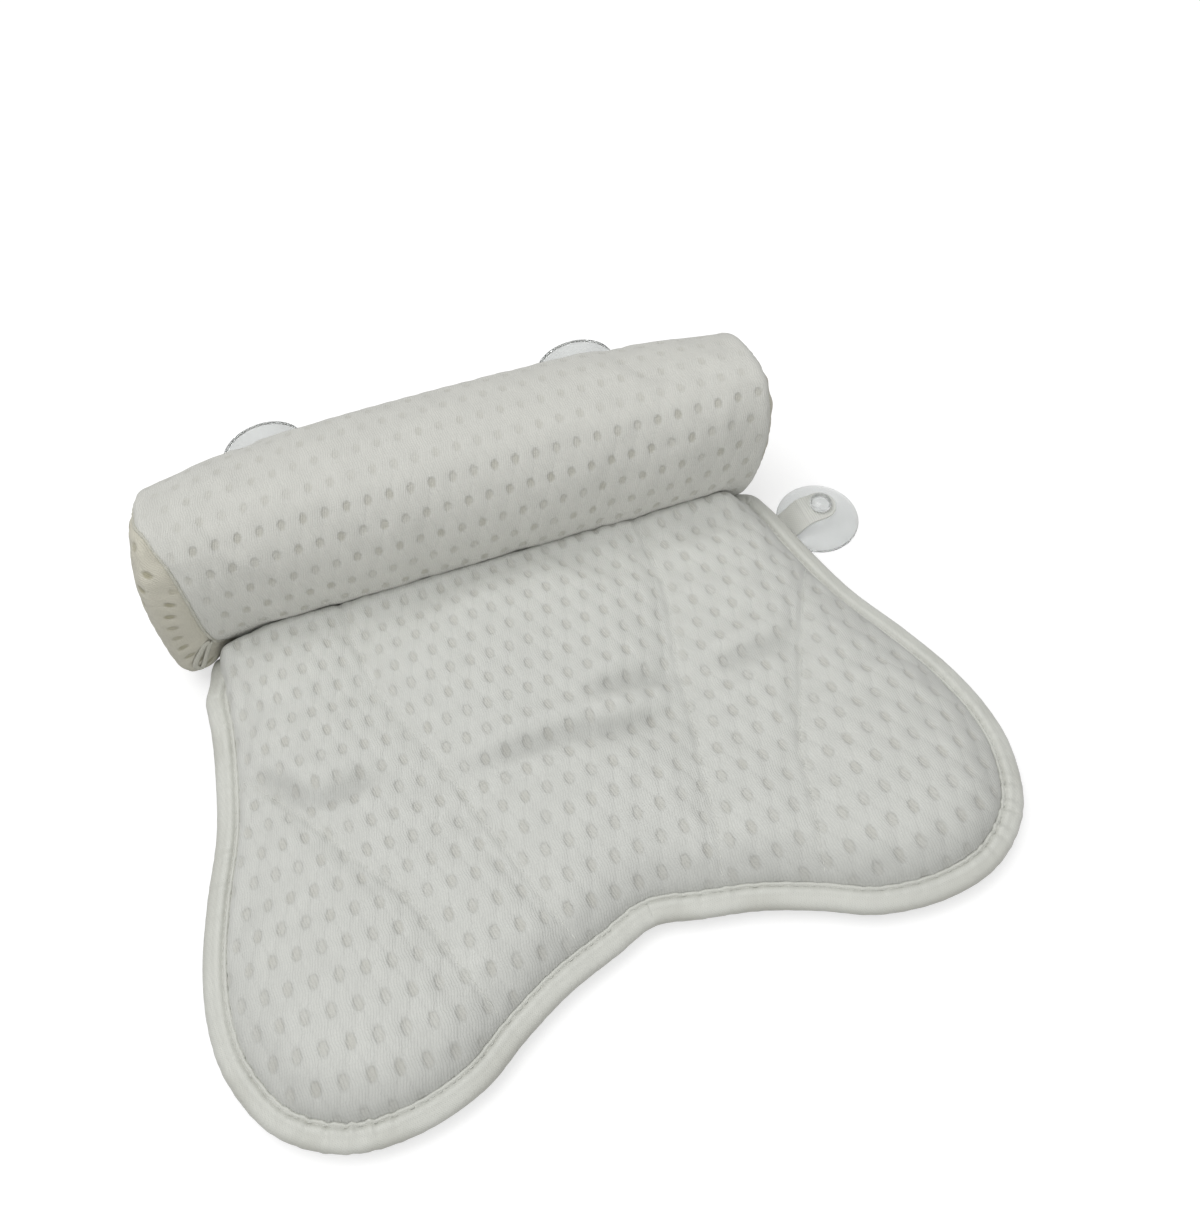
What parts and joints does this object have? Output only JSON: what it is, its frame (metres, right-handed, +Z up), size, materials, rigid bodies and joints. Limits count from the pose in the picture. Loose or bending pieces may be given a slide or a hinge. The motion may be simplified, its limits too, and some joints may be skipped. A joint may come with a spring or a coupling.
{
  "type": "bath pillow",
  "caption": "Soft bath pillow: a roll-shaped head rest that folds on a seam behind a quilted, butterfly-shaped mat, held by suction cups on fabric tabs.",
  "frame": {"origin": "on the floor, under the middle of the pillow's outer size, with the mat's suction cups standing on the floor", "axes": "+X along the wings of the mat, left to right seen from the wing tips; +Y from the wing tips to the head roll; +Z up"},
  "size_m": [0.3744, 0.3328, 0.0972],
  "materials": {
    "mesh_fabric": "knitted air mesh with oval dimples, off-white",
    "back_fabric": "plain woven backing cloth, off-white",
    "binding_tape": "ribbed satin tape, off-white",
    "tab_tape": "woven tape, off-white",
    "thread": "sewing thread, off-white",
    "fibre_fill": "soft spacer-mesh and fibre filling, white",
    "clear_vinyl": "translucent soft vinyl, glossy"
  },
  "bodies": {
    "mat": {"mat_top_panel": "mesh_fabric", "mat_back_panel": "back_fabric", "mat_fill_wing_left": "fibre_fill", "mat_fill_left": "fibre_fill", "mat_fill_centre": "fibre_fill", "mat_fill_right": "fibre_fill", "mat_fill_wing_right": "fibre_fill", "mat_edge_binding": "binding_tape", "quilt_seam_wing_left": "thread", "quilt_seam_left": "thread", "quilt_seam_right": "thread", "quilt_seam_wing_right": "thread", "hinge_strip": "binding_tape"},
    "roll": {"bolster_cover": "mesh_fabric", "bolster_core": "fibre_fill", "bolster_end_panel_left": "mesh_fabric", "bolster_end_panel_right": "mesh_fabric", "bolster_end_piping_left": "binding_tape", "bolster_end_piping_right": "binding_tape"},
    "tab_wing_left": {"cup_tab_wing_left": "tab_tape"},
    "tab_wing_right": {"cup_tab_wing_right": "tab_tape"},
    "tab_shoulder_left": {"cup_tab_shoulder_left": "tab_tape"},
    "tab_shoulder_right": {"cup_tab_shoulder_right": "tab_tape"},
    "tab_roll_left": {"cup_tab_roll_left": "tab_tape"},
    "tab_roll_right": {"cup_tab_roll_right": "tab_tape"},
    "cup_wing_left": {"suction_cup_wing_left": "clear_vinyl"},
    "cup_wing_right": {"suction_cup_wing_right": "clear_vinyl"},
    "cup_shoulder_left": {"suction_cup_shoulder_left": "clear_vinyl"},
    "cup_shoulder_right": {"suction_cup_shoulder_right": "clear_vinyl"},
    "cup_roll_left": {"suction_cup_roll_left": "clear_vinyl"},
    "cup_roll_right": {"suction_cup_roll_right": "clear_vinyl"}
  },
  "joints": [
    {"name": "roll_fold", "type": "hinge", "parent": "mat", "child": "roll", "pos_m": [-0.00217, 0.0768, 0.0072], "axis": [-0.9976, 0.0698, 0], "range_deg": [0, 90]},
    {"name": "tab_wing_left_fold", "type": "hinge", "parent": "mat", "child": "tab_wing_left", "pos_m": [-0.1038, -0.1044, 0.01282], "axis": [0, -1, 0], "range_deg": [0, 75]},
    {"name": "tab_wing_right_fold", "type": "hinge", "parent": "mat", "child": "tab_wing_right", "pos_m": [0.09921, -0.1044, 0.01282], "axis": [0, 1, 0], "range_deg": [0, 75]},
    {"name": "tab_shoulder_left_fold", "type": "hinge", "parent": "mat", "child": "tab_shoulder_left", "pos_m": [-0.14434, 0.0381, 0.0042], "axis": [0, 1, 0], "range_deg": [0, 75]},
    {"name": "tab_shoulder_right_fold", "type": "hinge", "parent": "mat", "child": "tab_shoulder_right", "pos_m": [0.13974, 0.0381, 0.0042], "axis": [0, 1, 0], "range_deg": [0, 75]},
    {"name": "tab_roll_left_fold", "type": "hinge", "parent": "roll", "child": "tab_roll_left", "pos_m": [-0.08146, 0.14824, 0.06035], "axis": [0.9992, 0.0403, 0], "range_deg": [0, 75]},
    {"name": "tab_roll_right_fold", "type": "hinge", "parent": "roll", "child": "tab_roll_right", "pos_m": [0.07831, 0.13707, 0.06035], "axis": [0.9839, -0.1789, 0], "range_deg": [0, 75]},
    {"name": "cup_wing_left_turn", "type": "hinge", "parent": "tab_wing_left", "child": "cup_wing_left", "pos_m": [-0.1303, -0.1044, 0], "axis": [0, 0, 1], "continuous": true},
    {"name": "cup_wing_right_turn", "type": "hinge", "parent": "tab_wing_right", "child": "cup_wing_right", "pos_m": [0.1257, -0.1044, 0], "axis": [0, 0, 1], "continuous": true},
    {"name": "cup_shoulder_left_turn", "type": "hinge", "parent": "tab_shoulder_left", "child": "cup_shoulder_left", "pos_m": [-0.11784, 0.0381, 0], "axis": [0, 0, 1], "continuous": true},
    {"name": "cup_shoulder_right_turn", "type": "hinge", "parent": "tab_shoulder_right", "child": "cup_shoulder_right", "pos_m": [0.16624, 0.0381, 0], "axis": [0, 0, 1], "continuous": true},
    {"name": "cup_roll_left_turn", "type": "hinge", "parent": "tab_roll_left", "child": "cup_roll_left", "pos_m": [-0.08216, 0.16552, 0.034], "axis": [0.0403, -0.9992, 0], "continuous": true},
    {"name": "cup_roll_right_turn", "type": "hinge", "parent": "tab_roll_right", "child": "cup_roll_right", "pos_m": [0.08141, 0.15408, 0.034], "axis": [-0.1789, -0.9839, 0], "continuous": true}
  ]
}
